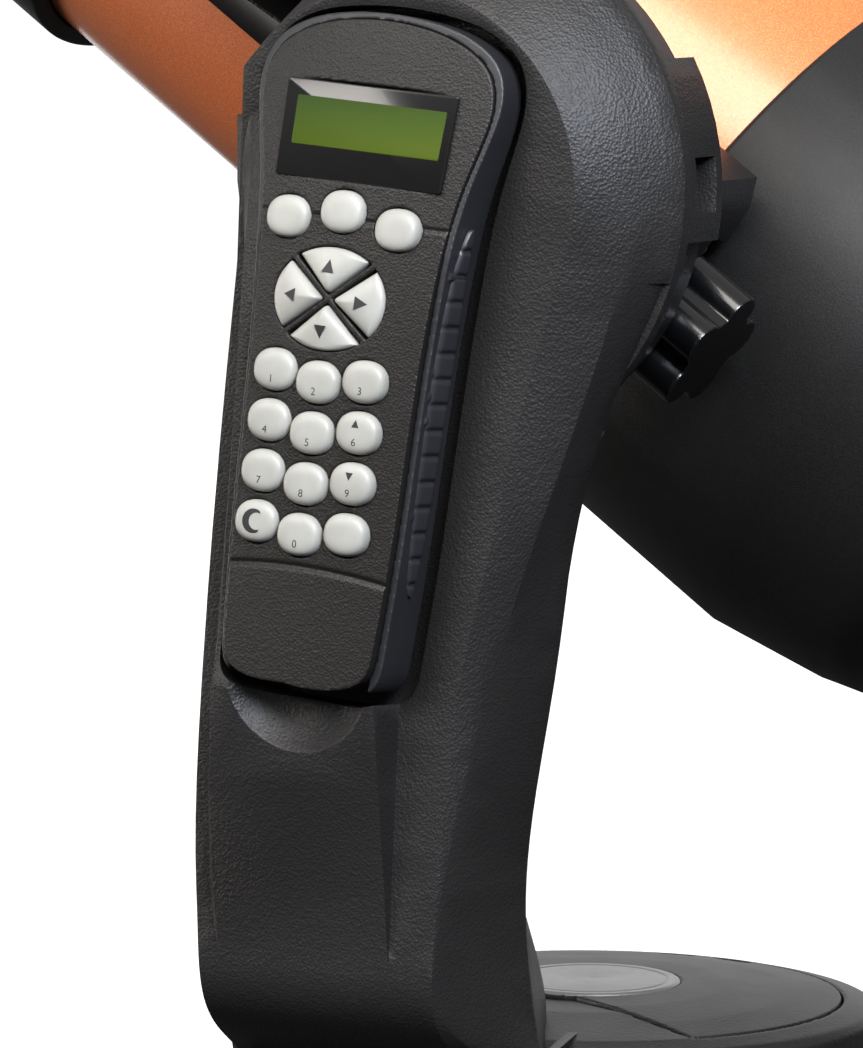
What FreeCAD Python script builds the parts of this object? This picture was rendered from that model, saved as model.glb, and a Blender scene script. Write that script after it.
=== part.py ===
"""Schmidt-Cassegrain telescope on a computerised single-arm mount.

Units are millimetres.  The origin is on the azimuth axis, at the underside of the feet.
+Z is the azimuth axis, +Y is the altitude axis from the arm towards the tube, and the
tube points towards -X, raised by TILT at rest.
"""
import FreeCAD, Part
import math
import os

V = FreeCAD.Vector
X, Y, Z = V(1, 0, 0), V(0, 1, 0), V(0, 0, 1)
FIT = 0.3            # gap left between separate bodies
RUN = 0.05           # radial clearance of a running fit
WALL = 3.0           # moulded shell wall

# Mount
FOOT_H = 6.0
SPINDLE_Z = 2.0      # underside of the spindle, between the feet
BASE_R = 92.0
BASE_TOP = 25.0
DECK_R = 83.7        # turntable radius
DECK_Z = 58.0        # turntable rim height
COVER_R = 72.4       # battery cover radius
DOME_H = 6.6         # rise of the cover from the rim to its middle
EMBLEM_R = 25.7
ROOF_Y = -23.1       # apex of the roof-shaped cut that clears the arm's foot
ROOF_SLOPE = 0.487
AXIS_Z = 299.0       # altitude axis height
TILT = 36.6          # tube elevation at rest
PART_Y = -110.5      # plane between the outer and the inner arm shell
HEAD_R = 76.6        # arm head and altitude hub radius

# Tube
TUBE_Y = 67.0        # optical axis
TUBE_R = 90.5
CELL_R = 97.9
LIP_X = 35.1         # front edge of the rear cell, behind the altitude axis
REAR_X = 152.0       # rear face of the rear cell
FRONT_X = -181.4     # rear edge of the front cell
NOSE_X = -214.0
EYE_R = 15.875       # 1.25 inch eyepiece barrel
EYEPIECE_X = 197.0   # eyepiece axis, behind the altitude axis
FOCUS_AT = (TUBE_Y + 40.0, -30.0)    # focus knob's y and height off the optical axis

CLAMP_Y = -64.2      # axis of the dovetail clamp's knob
BAR_FRONT, BAR_LENGTH = -180.5, 228.5

# Gears
MODULE = 1.25
AZ_TEETH, ALT_TEETH, PINION_TEETH = 96, 72, 16
PINION_R = MODULE * PINION_TEETH / 2
AZ_CENTRES = MODULE * (AZ_TEETH + PINION_TEETH) / 2
ALT_CENTRES = MODULE * (ALT_TEETH + PINION_TEETH) / 2
ALT_LINE = -68.0     # degrees round the altitude axis to its pinion

# Hand control
HC_FOOT = V(-14.0, -159.0, 168.0)
HC_LEAN = 5.0        # leans towards the tube as it rises
HC_TURN = 5.2        # turned in its own plane
HC_DEEP = 23.0
CROWN = 3.0
CROWN_R = 151.5
BEND_V, BEND = 80.0, 0.00075   # above this height the face curves back, by BEND * rise squared
POCKET_SHIFT = 1.4   # the pocket is wider on the hand control's right

PARTS = {}


def add(name, shape):
    PARTS[name] = shape


def box(x0, x1, y0, y1, z0, z1):
    return Part.makeBox(x1 - x0, y1 - y0, z1 - z0, V(x0, y0, z0))


def rod(radius, start, end):
    axis = end - start
    return Part.makeCylinder(radius, axis.Length, start, axis)


def pipe(outer, inner, start, end):
    reach = (end - start).normalize()
    return rod(outer, start, end).cut(rod(inner, start - reach, end + reach))


def fuse(shapes):
    return shapes[0].multiFuse(shapes[1:]).removeSplitter()


def polygon(points):
    return Part.Face(Part.makePolygon(points + points[:1]))


def lathe_z(profile):
    """Solid of revolution about Z from (radius, height) points."""
    return polygon([V(r, 0, z) for r, z in profile]).revolve(V(0, 0, 0), Z, 360)


def lathe_tube(profile):
    """Solid of revolution about the optical axis from (x, radius) points."""
    return polygon([V(x, TUBE_Y, r) for x, r in profile]).revolve(V(0, TUBE_Y, 0), X, 360)


def lathe_head(profile):
    """Solid of revolution about the altitude axis from (radius, y) points."""
    return polygon([V(r, y, AXIS_Z) for r, y in profile]).revolve(V(0, 0, AXIS_Z), Y, 360)


def tilt(shape):
    """Carries a tube part from the level position to its rest position."""
    shape = shape.copy()
    shape.rotate(V(0, 0, 0), Y, TILT)
    shape.translate(V(0, 0, AXIS_Z))
    return shape


def loft(sections, ruled=False):
    wires = [Part.makePolygon(points + points[:1]) for points in sections]
    return Part.makeLoft(wires, True, ruled)


def around_z(shape, count, first=0.0):
    copies = []
    for i in range(count):
        copy = shape.copy()
        copy.rotate(V(0, 0, 0), Z, first + 360.0 * i / count)
        copies.append(copy)
    return copies


def involute_half_angle(radius, base_r, pitch_r, half_at_pitch):
    def inv(r):
        a = math.acos(min(1.0, base_r / r))
        return math.tan(a) - a
    return half_at_pitch - (inv(max(radius, base_r)) - inv(pitch_r))


def gear(teeth, height, bore):
    """Spur gear about Z with involute flanks and a little backlash."""
    pitch_r = MODULE * teeth / 2
    base_r = pitch_r * math.cos(math.radians(20))
    tip_r = pitch_r + 0.92 * MODULE
    root_r = pitch_r - 1.25 * MODULE
    half = 0.455 * math.pi / teeth
    radii = [root_r] + [max(base_r, root_r) + (tip_r - max(base_r, root_r)) * t for t in (0, 0.35, 0.7, 1)]
    radii = sorted(set(round(r, 4) for r in radii))
    points = []
    for i in range(teeth):
        middle = 2 * math.pi * i / teeth
        flank = [(r, involute_half_angle(r, base_r, pitch_r, half)) for r in radii]
        for r, a in flank:
            points.append(V(r * math.cos(middle - a), r * math.sin(middle - a), 0))
        for r, a in reversed(flank):
            points.append(V(r * math.cos(middle + a), r * math.sin(middle + a), 0))
    wheel = polygon(points).extrude(V(0, 0, height))
    return wheel.cut(rod(bore, V(0, 0, -1), V(0, 0, height + 1)))


# ---------------------------------------------------------------- fixed base

def make_base():
    shell = lathe_z([(0, 6), (BASE_R - 3, 6), (BASE_R, 9), (BASE_R, 22), (BASE_R - 2, BASE_TOP),
                     (70, BASE_TOP), (70, 22), (BASE_R - 4, 20), (BASE_R - 4, 10), (0, 10)])
    boss = lathe_z([(11 + RUN, 9), (26, 9), (26, 22), (11 + RUN, 22)])
    shell = fuse([shell, boss]).cut(rod(11, V(0, 0, 0), V(0, 0, 30)))
    for hole in around_z(rod(4.0, V(60, 0, 0), V(60, 0, 30)), 3, 30):
        shell = shell.cut(hole)
    ribs = around_z(box(26, 52, -1.5, 1.5, 9.5, 20), 3, 90)
    add("base_housing", fuse([shell] + ribs))
    foot = lathe_z([(0, 0), (11, 0), (12.5, 1.5), (12.5, FOOT_H), (0, FOOT_H)])
    foot.translate(V(74, 0, 0))
    add("rubber_feet", Part.makeCompound(around_z(foot, 3, 90)))


def make_spindle():
    spindle = lathe_z([(0, SPINDLE_Z), (10.9, SPINDLE_Z), (10.9, 22), (30, 22), (30, 26.6), (14, 26.6),
                       (14, 40.6), (0, 40.6)])
    add("azimuth_spindle", spindle.cut(rod(5.0, V(0, 0, 0), V(0, 0, 27))))
    wheel = gear(AZ_TEETH, 6, 14.2)
    wheel.translate(V(0, 0, 27))
    for hole in around_z(rod(9, V(38, 0, 20), V(38, 0, 40)), 6):
        wheel = wheel.cut(hole)
    add("azimuth_gear", wheel)


# ---------------------------------------------------------------- turntable

def roof(y_shift, depth=200.0):
    """The region on the arm's side of the roof-shaped line."""
    y = ROOF_Y + y_shift
    return polygon([V(0, y, 0), V(depth, y - ROOF_SLOPE * depth, 0), V(depth, -depth, 0),
                    V(-depth, -depth, 0), V(-depth, y - ROOF_SLOPE * depth, 0)]).extrude(V(0, 0, depth))


def make_turntable():
    shell = lathe_z([(DECK_R - 1.5, 26), (DECK_R, 28), (DECK_R, DECK_Z - 2), (DECK_R - 2, DECK_Z),
                     (COVER_R + 0.6, DECK_Z + 2), (COVER_R + 0.6, 52), (70, 50), (70, 40.5),
                     (14 + RUN, 40.5), (14 + RUN, 36.5), (DECK_R - 4, 36.5), (DECK_R - 4, 26)])
    deck = lathe_z([(0, 52), (COVER_R + 1, 52), (COVER_R + 1, DECK_Z + 2), (COVER_R + 0.6, DECK_Z + 2),
                    (45, DECK_Z + 4.8), (0, DECK_Z + 5)]).common(roof(0))
    deck = deck.cut(rod(EMBLEM_R + 1.5, V(0, 0, 0), V(0, 0, 90)))
    deck = deck.cut(lathe_z([(0, 51), (COVER_R - 2, 51), (COVER_R - 2, DECK_Z - 1), (0, DECK_Z + 2)]))
    foot = box(-36, 17, PART_Y + 4, -60, 33.4, 36.5)
    thrust = lathe_z([(14 + RUN, 33.3), (24, 33.3), (24, 37), (14 + RUN, 37)])
    shell = fuse([shell, deck, foot, thrust])
    shell = shell.cut(rod(PINION_R + 3, pinion_foot(20), pinion_foot(36.6)))
    shell = shell.cut(rod(4.4, pinion_foot(30), pinion_foot(50)))
    shell = shell.cut(box(-30, -2, -84, -53.5, 40.6, 80))
    switch = box(-76, -60, -16, -4, 40.6, 52)
    jack = rod(5.5, V(-90, 10, 46), V(-68, 10, 46))
    shell = shell.cut(switch_slot()).cut(jack)
    add("turntable_housing", shell.cut(switch.common(box(-75, -60, -15, -5, 41, 51))))


def pinion_foot(z):
    return V(-16.0, -math.sqrt(AZ_CENTRES ** 2 - 16.0 ** 2), z)


def switch_slot():
    slot = box(-95, -66, -6, 6, 42, 50)
    slot.rotate(V(0, 0, 0), Z, 20)
    return slot


def make_switch():
    rocker = rod(3.2, V(-79, -5.4, 46), V(-79, 5.4, 46))
    pad = polygon([V(-80, -5.4, 42.8), V(-85.6, -5.4, 43.6), V(-84.4, -5.4, 46), V(-83.6, -5.4, 49.2),
                   V(-80, -5.4, 48.6)]).extrude(V(0, 10.8, 0))
    switch = fuse([rocker, pad])
    switch.rotate(V(0, 0, 0), Z, 20)
    add("power_switch", switch)


def make_cover():
    outer = [(0, DECK_Z + 1.5), (COVER_R - 2, DECK_Z - 2), (COVER_R, DECK_Z - 2), (COVER_R, DECK_Z + 2),
             (58, DECK_Z + 4), (40, DECK_Z + 5.6), (EMBLEM_R + 0.2, DECK_Z + 6.2),
             (EMBLEM_R + 0.2, DECK_Z + 4.6), (0, DECK_Z + 4.6)]
    cover = lathe_z(outer).cut(roof(0.5).cut(rod(EMBLEM_R + 1.0, V(0, 0, -1), V(0, 0, 90))))
    for angle in (77.5, 93.5):
        notch = box(COVER_R - 5, COVER_R + 2, -5.5, 5.5, DECK_Z - 3, DECK_Z + 5)
        notch.rotate(V(0, 0, 0), Z, angle)
        latch = box(COVER_R - 4.6, COVER_R - 3, -4.5, 4.5, DECK_Z - 3, DECK_Z + 1.4)
        bridge = box(COVER_R - 6, COVER_R - 3, -4.5, 4.5, DECK_Z - 3, DECK_Z - 1.6)
        latch = fuse([latch, bridge])
        latch.rotate(V(0, 0, 0), Z, angle)
        cover = fuse([cover.cut(notch), latch])
    add("battery_cover", cover)
    disc = lathe_z([(0, DECK_Z + 4.65), (EMBLEM_R, DECK_Z + 4.65), (EMBLEM_R, DECK_Z + 6),
                    (EMBLEM_R - 0.8, DECK_Z + DOME_H), (0, DECK_Z + DOME_H)])
    ring = lathe_z([(EMBLEM_R - 4.0, DECK_Z + 6.3), (EMBLEM_R - 3.4, DECK_Z + 6.3),
                    (EMBLEM_R - 3.4, DECK_Z + 7), (EMBLEM_R - 4.0, DECK_Z + 7)])
    add("cover_emblem", disc.cut(ring))


def make_batteries():
    cells = []
    places = [(-43, 8), (-43, 24), (-43, 40), (9, 8), (9, 24), (9, 40), (-18, -9), (-18, 56)]
    for row, (x, y) in enumerate(places):
        body = rod(7.1, V(x - 8, y, 48), V(x + 41, y, 48))
        if row % 2:
            body = fuse([body, rod(2.7, V(x + 40, y, 48), V(x + 42.2, y, 48))])
        else:
            body = fuse([body, rod(2.7, V(x - 9.2, y, 48), V(x - 7, y, 48))])
        cells.append(body)
    add("batteries", Part.makeCompound(cells))


# ---------------------------------------------------------------- fork arm

# Arm cross-sections: height; x of the left edge at the parting plane, of the left and right
# edges of the face, of the bevel's outer edge and of the right edge at the parting plane;
# y of the bevel's outer edge and of the face.
ARM = [
    (48, -57, -50, 22, 29, 38, -114.5, -118.5),
    (66, -60, -49, 22, 28, 35.5, -128, -133.5),
    (85, -62, -48.6, 21.8, 22.4, 32.5, -147.0, -148.4),
    (100, -63, -50, 21.8, 22.6, 31.4, -146.0, -147.3),
    (115, -63.5, -51.2, 22.1, 23.7, 31.4, -144.2, -146.1),
    (140, -63.5, -52, 23.4, 27, 35.0, -139.9, -143.9),
    (168, -61, -51.6, 26.2, 32.2, 39.6, -134.7, -141.5),
    (195, -58.5, -50.8, 31.5, 39.1, 43.6, -130.9, -139.1),
    (225, -55.5, -49.4, 37.3, 48.5, 50.2, -127.2, -136.5),
    (250, -53.5, -48.0, 43.0, 56.5, 59.5, -124.4, -134.3),
    (275, -51.5, -46.2, 49.5, 63.5, 71.0, -122.4, -132.5),
    (AXIS_Z, -50.5, -45.0, 54.5, 66.0, HEAD_R, -121.8, -131.7),
]

# The raised pad under the hand control, and the low rim that rises beside it:
# height, left edge x and its y.
PAD = [(91, -43.0, -148.0), (112, -43.4, -150.7), (140, -42.4, -154.6), (166, -40.0, -158.3),
       (178, -39.6, -154.5), (205, -38.8, -152.0), (240, -37.8, -149.0), (275, -37.6, -145.0),
       (300, -39.0, -138.0), (318, -42.0, -131.9)]
PAD_RIGHT = 8.7
HOLLOW_Z = 82.0      # where the outer shell's hollow starts


def face_y(z):
    for low, high in zip(ARM, ARM[1:]):
        if z <= high[0]:
            t = (z - low[0]) / (high[0] - low[0])
            return low[7] + t * (high[7] - low[7])
    return ARM[-1][7]


def arm_section(row, inset, back):
    z, left, face_left, face_right, bevel, right, y_bevel, y_face = row
    return [V(left + inset, back, z), V(face_left + 1.2 * inset, y_face + inset, z),
            V(face_right - inset, y_face + inset, z), V(bevel - inset, y_bevel + 0.7 * inset, z),
            V(right - inset, back, z)]


def pad_section(row, inset):
    z, left, y = row
    face_left = interpolate_arm(z, 2)
    base = face_y(z) + 4.0
    return [V(face_left + 2.2 * inset + 1.6, base, z), V(left + 1.5 * inset, y + inset, z),
            V(PAD_RIGHT - inset, y + inset - 0.01, z), V(PAD_RIGHT - inset, base, z)]


def head_clip(inset):
    """Everything to the right of the head's straight left side and its sloping shoulder."""
    reach, low, high = 120.0, AXIS_Z - 60.0, AXIS_Z + 120.0
    corners = [V(-50.5 + inset, 0, low), V(-50.5 + inset, 0, AXIS_Z + 26), V(-14.5 + inset, 0, AXIS_Z + 64),
               V(-8 + inset, 0, high), V(reach, 0, high), V(reach, 0, low)]
    return polygon(corners).extrude(V(0, -200, 0))


def arm_block(inset, back):
    rows = ARM if inset == 0 else [(HOLLOW_Z,) + ARM[2][1:]] + ARM[3:]
    lower = loft([arm_section(row, inset, back) for row in rows])
    radius = HEAD_R - inset
    head = lathe_head([(0, back), (radius, back), (66.0 - inset, -121.8 + 0.7 * inset),
                       (54.5 - inset, -131.7 + inset), (0, -131.7 + inset)])
    pad_rows = PAD if inset == 0 else PAD[1:4]
    pad = loft([pad_section(row, inset) for row in pad_rows], True)
    upper = box(-120, 120, -200, 0, AXIS_Z - 25, AXIS_Z + 120)
    side = loft([[V(-51.5 + inset, back, AXIS_Z - 24), V(-46.2 + inset, -132.5, AXIS_Z - 24),
                  V(120, -132.5, AXIS_Z - 24), V(120, back, AXIS_Z - 24)],
                 [V(-49.0 + inset, back, AXIS_Z + 120), V(-41.0 + inset, -131.7, AXIS_Z + 120),
                  V(120, -131.7, AXIS_Z + 120), V(120, back, AXIS_Z + 120)]])
    head = head.common(head_clip(inset)).common(upper).common(side)
    return fuse([lower, head, pad])


def hc_place(shape):
    """Carries a hand-control part (u across, v up, w outwards as x, z, -y) to its pocket."""
    shape = shape.copy()
    shape.rotate(V(0, 0, 0), Y, HC_TURN)
    shape.rotate(V(0, 0, 0), X, -HC_LEAN)
    shape.translate(HC_FOOT)
    return shape


def hc_point(u, v, w):
    return V(u, -w, v)


HC_OUTLINE = [(0, 0), (13, 0.4), (20.4, 4), (22.6, 13), (23.8, 35), (24.8, 72), (26.6, 112), (29.8, 136),
              (33.2, 150), (34.2, 159), (31.8, 167), (23.4, 173.6), (12, 177), (0, 178)]


def hc_slab(grow, w0, w1, shift=0.0):
    """The hand control's outline, grown sideways and shifted, between two depths."""
    right = [(u, v) for u, v in HC_OUTLINE]
    middle = 89.0
    ring = []
    for u, v in right + [(-u, v) for u, v in reversed(right[1:-1])]:
        du = grow * min(1.0, abs(u) / 20.0) * (1 if u >= 0 else -1)
        dv = grow * (v - middle) / middle
        ring.append(hc_point(u + du + shift, v + dv, w0))
    curve = Part.BSplineCurve()
    curve.interpolate(ring, PeriodicFlag=True)
    return Part.Face(Part.Wire(curve.toShape())).extrude(V(0, w0 - w1, 0))


def make_outer_shell():
    outer = arm_block(0, PART_Y)
    shell = outer.cut(arm_block(WALL, PART_Y + 5))
    basin = hc_place(hc_slab(6.8, -HC_DEEP - 3.0, 30, POCKET_SHIFT)).common(outer)
    thumb = hc_place(Part.makeSphere(28.5, hc_point(0, -1, 14.6))).common(outer)
    shell = fuse([shell, basin, thumb])
    shell = shell.cut(hc_place(hc_slab(4.2, -HC_DEEP - 0.4, 60, POCKET_SHIFT)))
    shell = shell.cut(hc_place(Part.makeSphere(26.0, hc_point(0, -1, 14.6))))
    add("arm_outer_shell", shell)


# Inner-shell cross-sections: height, inner-face left and right x, inner-face y.
INNER = [(58.5, -40, 8, -48), (80, -40, 7, -52), (110, -40, 6, -66), (150, -42, 12, -79),
         (190, -42, 20, -89), (235, -40, 30, -94)]


def interpolate_arm(z, column):
    for low, high in zip(ARM, ARM[1:]):
        if low[0] <= z <= high[0]:
            t = (z - low[0]) / (high[0] - low[0])
            return low[column] + t * (high[column] - low[column])
    return ARM[0][column]


def inner_section(row, inset, back):
    z, left_in, right_in, y_in = row
    left = interpolate_arm(z, 1) + inset
    right = interpolate_arm(z, 5) - inset
    return [V(left, back, z), V(right, back, z), V(right_in - inset, y_in - inset, z),
            V(left_in + inset, y_in - inset, z)]


def make_inner_shell():
    back = PART_Y + FIT
    outer = loft([inner_section(row, 0, back) for row in INNER])
    shell = outer.cut(loft([inner_section(row, WALL, back - 2) for row in INNER]))
    skirt_low = [V(-46, back, 33), V(30, back, 33), V(22, -60, 33), V(-40, -60, 33)]
    skirt_high = [V(-56, back, 61), V(35.6, back, 61), V(24, -60, 61), V(-46, -60, 61)]
    skirt = loft([skirt_low, skirt_high])
    drum = lathe_z([(0, 0), (DECK_R + FIT, 0), (DECK_R + FIT, DECK_Z + FIT), (DECK_R - 2, DECK_Z + FIT),
                    (COVER_R + 0.6, DECK_Z + 2.3), (45, DECK_Z + 5.1), (0, DECK_Z + 5.3)])
    hollow = loft([[V(-43, back + 3, 32), V(27, back + 3, 32), V(19, -62, 32), V(-37, -62, 32)],
                   [V(-53, back + 3, 61.5), V(32.6, back + 3, 61.5), V(21, -62, 61.5), V(-43, -62, 61.5)]])
    shell = fuse([shell, skirt.cut(hollow)]).cut(drum)
    ring = rod(HEAD_R + 0.8, V(0, PART_Y - 5, AXIS_Z), V(0, -60, AXIS_Z))
    add("arm_inner_shell", shell.cut(ring))


def make_frame():
    plate = rod(60, V(0, PART_Y - 3.2, AXIS_Z), V(0, PART_Y - 0.3, AXIS_Z))
    plate = plate.common(box(-43, 60, -130, 0, 200, 400)).common(head_clip(6.0))
    boss = rod(17, V(0, PART_Y - 3.2, AXIS_Z), V(0, -90, AXIS_Z))
    neck = polygon([V(-38, PART_Y - 0.3, 190), V(20, PART_Y - 0.3, 190), V(44, PART_Y - 0.3, 262),
                    V(-40, PART_Y - 0.3, 262)]).extrude(V(0, -2.9, 0))
    step = box(-38, 12, PART_Y - 3.2, -104, 190, 205)
    post = box(-38, 12, -107, -104, 36.8, 205)
    ribs = [box(x, x + 4, -106, -100, 40, 205) for x in (-38, 8)]
    foot = box(-38, 12, -107, -86, 36.8, 41)
    frame = fuse([plate, boss, neck, step, post, foot] + ribs)
    frame = frame.cut(rod(10 + RUN, V(0, -130, AXIS_Z), V(0, -80, AXIS_Z)))
    frame = frame.cut(rod(PINION_R + 2.2, alt_pinion_at(-130), alt_pinion_at(-100)))
    for z in (90, 125, 160):
        frame = frame.cut(rod(9, V(-12, -130, z), V(-12, -80, z)))
    add("arm_frame", frame)


def alt_pinion_at(y):
    angle = math.radians(ALT_LINE)
    return V(ALT_CENTRES * math.cos(angle), y, AXIS_Z + ALT_CENTRES * math.sin(angle))


def make_drives():
    wheel = gear(ALT_TEETH, 6, 17.6)
    for hole in around_z(rod(5, V(30, 0, -1), V(30, 0, 10)), 6, 30):
        wheel = wheel.cut(hole)
    wheel.rotate(V(0, 0, 0), X, 90)
    wheel.translate(V(0, -89.4, AXIS_Z))
    add("altitude_gear", wheel)
    pinion = fuse([gear(PINION_TEETH, 7, 2.0), pipe(4.0, 2.0, V(0, 0, 7), V(0, 0, 24))])
    pinion.rotate(V(0, 0, 0), Z, mesh_angle(ALT_LINE, ALT_TEETH))
    pinion.rotate(V(0, 0, 0), X, 90)
    pinion.translate(alt_pinion_at(-89.0))
    add("altitude_pinion", pinion)
    motor = fuse([rod(10.6, alt_pinion_at(-123.8), alt_pinion_at(-117)),
                  rod(12.4, alt_pinion_at(-117.4), alt_pinion_at(-114.1))])
    motor = motor.cut(rod(4.4, alt_pinion_at(-117), alt_pinion_at(-110)))
    add("altitude_motor", fuse([motor, rod(1.95, alt_pinion_at(-117.5), alt_pinion_at(-92))]))

    pinion = fuse([gear(PINION_TEETH, 7, 2.0), pipe(4.0, 2.0, V(0, 0, 7), V(0, 0, 14))])
    line = math.degrees(math.atan2(pinion_foot(0).y, pinion_foot(0).x))
    pinion.rotate(V(0, 0, 0), Z, mesh_angle(line, AZ_TEETH))
    pinion.translate(pinion_foot(26.6))
    add("azimuth_pinion", pinion)
    motor = fuse([rod(12.6, pinion_foot(41), pinion_foot(47)), rod(10.3, pinion_foot(47), pinion_foot(76))])
    add("azimuth_motor", fuse([motor, rod(1.95, pinion_foot(30), pinion_foot(43))]))


def mesh_angle(line, teeth):
    """Turns a pinion so that its gap faces the wheel's tooth, line degrees round the wheel."""
    pitch = 360.0 / PINION_TEETH
    return line + 180.0 + pitch / 2 + (line * teeth / 360.0 % 1.0) * pitch


def make_board():
    board = box(-34, 6, -98, -96.4, 78, 150)
    chips = [box(-28, -14, -96.5, -94, 84, 98), box(-8, 2, -96.5, -93, 88, 104),
             box(-26, -6, -96.5, -92, 114, 126)]
    add("circuit_board", fuse([board] + chips))


# ---------------------------------------------------------------- hub and clamp

def make_hub():
    flange = rod(HEAD_R, V(0, PART_Y + 0.4, AXIS_Z), V(0, -105, AXIS_Z))
    drum = rod(71, V(0, -106, AXIS_Z), V(0, -84, AXIS_Z))
    sector = [V(0, -106, AXIS_Z)]
    for i in range(9):
        a = math.radians(-10.5 + 38.5 * i / 8)
        sector.append(V(75.2 * math.cos(a), -106, AXIS_Z + 75.2 * math.sin(a)))
    block = polygon(sector).extrude(V(0, 24, 0))
    cup = rod(67.6, V(0, -130, AXIS_Z), V(0, -88, AXIS_Z)).cut(hub_flats(-WALL))
    hub = fuse([flange, drum, block]).cut(hub_flats(0)).cut(cup)
    shaft = rod(10, V(0, -116.5, AXIS_Z), V(0, -87, AXIS_Z))
    grip = box(69.5, 80, -99, -86, AXIS_Z - 6, AXIS_Z + 9)
    hub = fuse([hub.cut(grip), tilt(make_saddle()), shaft])
    hub = hub.cut(tilt(rod(4.3, V(30, CLAMP_Y, 2), V(75, CLAMP_Y, 2))))
    add("altitude_hub", hub)


def hub_flats(shift):
    """What the hub's flat left side and its flat front take off its round outline."""
    left = box(-100, -52 - shift, -130, -60, 180, 420)
    front = tilt(box(-100, -57 - shift, -130, -60, -100, 100))
    return fuse([left, front])


def bar_profile(x, gap):
    """Dovetail section, wide towards the hub, in the plane at x."""
    return [V(x, -47 - gap, -22 - gap), V(x, -31.2 + gap, -17.8 - gap), V(x, -31.2 + gap, 17.8 + gap),
            V(x, -47 - gap, 22 + gap)]


def make_saddle():
    block = polygon([V(-48, -84.5, -36), V(52, -84.5, -36), V(55.3, -84.5, -28), V(55.3, -84.5, 32),
                     V(52, -84.5, 40), V(-48, -84.5, 40)]).extrude(V(0, 48, 0))
    groove = polygon(bar_profile(-60, FIT)).extrude(V(130, 0, 0))
    jaw_seat = box(-61, 61, -55.3, -36, -50, -16.0)
    return block.cut(groove).cut(jaw_seat)


def make_clamp():
    jaw = box(-46, 50, -55, -36.5, -36, -16.5).cut(polygon(bar_profile(-60, 0.1)).extrude(V(130, 0, 0)))
    jaw = jaw.cut(box(-47, 60, -56, -47.05, -30, 0))
    add("clamp_jaw", tilt(jaw))
    lobes = []
    for i in range(5):
        a = math.radians(72 * i + 18)
        lobes.append(rod(6.4, V(60, CLAMP_Y + 12.6 * math.cos(a), 2 + 12.6 * math.sin(a)),
                         V(80, CLAMP_Y + 12.6 * math.cos(a), 2 + 12.6 * math.sin(a))))
    core = rod(13.5, V(60, CLAMP_Y, 2), V(80, CLAMP_Y, 2))
    neck = rod(8.0, V(55.8, CLAMP_Y, 2), V(60, CLAMP_Y, 2))
    screw = rod(4.2, V(34, CLAMP_Y, 2), V(57, CLAMP_Y, 2))
    add("clamp_knob", tilt(fuse([core, neck, screw] + lobes)))
    bar = polygon(bar_profile(BAR_FRONT, 0)).extrude(V(BAR_LENGTH, 0, 0))
    pad = box(BAR_FRONT, BAR_FRONT + 8, -32, -20, -12, 12).cut(rod_x(TUBE_R + FIT, -200, -160))
    bar = fuse([bar, pad])
    for x in (BAR_FRONT + 4, 40):
        bar = bar.cut(rod(3.3, V(x, -60, 0), V(x, -20, 0)))
    add("dovetail_bar", tilt(bar))


# ---------------------------------------------------------------- optical tube

def make_tube():
    tube = lathe_tube([(-197, TUBE_R - 1.6), (-197, TUBE_R), (58, TUBE_R), (58, TUBE_R - 1.6)])
    add("tube", tilt(tube))
    rim = 96.5
    cell = lathe_tube([(FRONT_X, 91.0), (FRONT_X, rim - 1.5), (FRONT_X - 1.2, rim), (NOSE_X + 3, rim),
                       (NOSE_X, rim - 3), (NOSE_X, 84), (-206.2, 82), (-206.2, 81.5), (-200.2, 81.5),
                       (-200.2, 77), (-197.6, 77), (-197.6, 91.0)])
    add("front_cell", tilt(cell))
    add("corrector_plate", tilt(lathe_tube([(-206, 0), (-206, 81.2), (-200.4, 81.2), (-200.4, 0)])
                                .cut(rod_x(20.2, -220, -190))))


def rod_x(radius, x0, x1, y=TUBE_Y, z=0.0):
    return rod(radius, V(x0, y, z), V(x1, y, z))


def make_secondary():
    housing = lathe_tube([(-212, 0), (-214, 22), (-212, 24.5), (-206.3, 24.5), (-206.3, 20), (-198, 20),
                          (-198, 24), (-183, 22), (-183, 19.4), (-199, 19.4), (-201, 0)])
    for i in range(3):
        a = math.radians(120 * i)
        housing = housing.cut(rod_x(2.2, -216, -210.5, TUBE_Y + 13 * math.cos(a), 13 * math.sin(a)))
    add("secondary_housing", tilt(housing))
    mirror = lathe_tube([(-194, 0), (-194, 19), (-187.5, 19), (-186.6, 10), (-186.2, 0)])
    add("secondary_mirror", tilt(mirror))


def make_rear_cell():
    outer = [(LIP_X, 91.0), (LIP_X, CELL_R - 1.2), (LIP_X + 1.2, CELL_R), (96, CELL_R), (131, 90.3),
             (143, 86), (149, 80), (REAR_X, 72), (REAR_X, 34), (REAR_X + 5, 32), (REAR_X + 5, 24.05),
             (140, 24.05), (140, 30), (146, 34), (146, 70), (140, 79), (131, 85.5), (96, 92.5), (61, 92.5),
             (61, 91.0)]
    cell = lathe_tube(outer)
    boss = rod_x(8, 142, REAR_X + 1, *FOCUS_AT)
    cell = fuse([cell, boss]).cut(rod_x(4 + RUN, 130, REAR_X + 5, *FOCUS_AT))
    add("rear_cell", tilt(cell))
    screws = []
    for i in range(8):
        a = math.radians(45 * i + 7)
        for x, radius in ((46.5, CELL_R), (-203.0, 96.5)):
            screws.append(make_screw(x, a, radius))
    add("cell_screws", tilt(Part.makeCompound(screws)))


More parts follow.
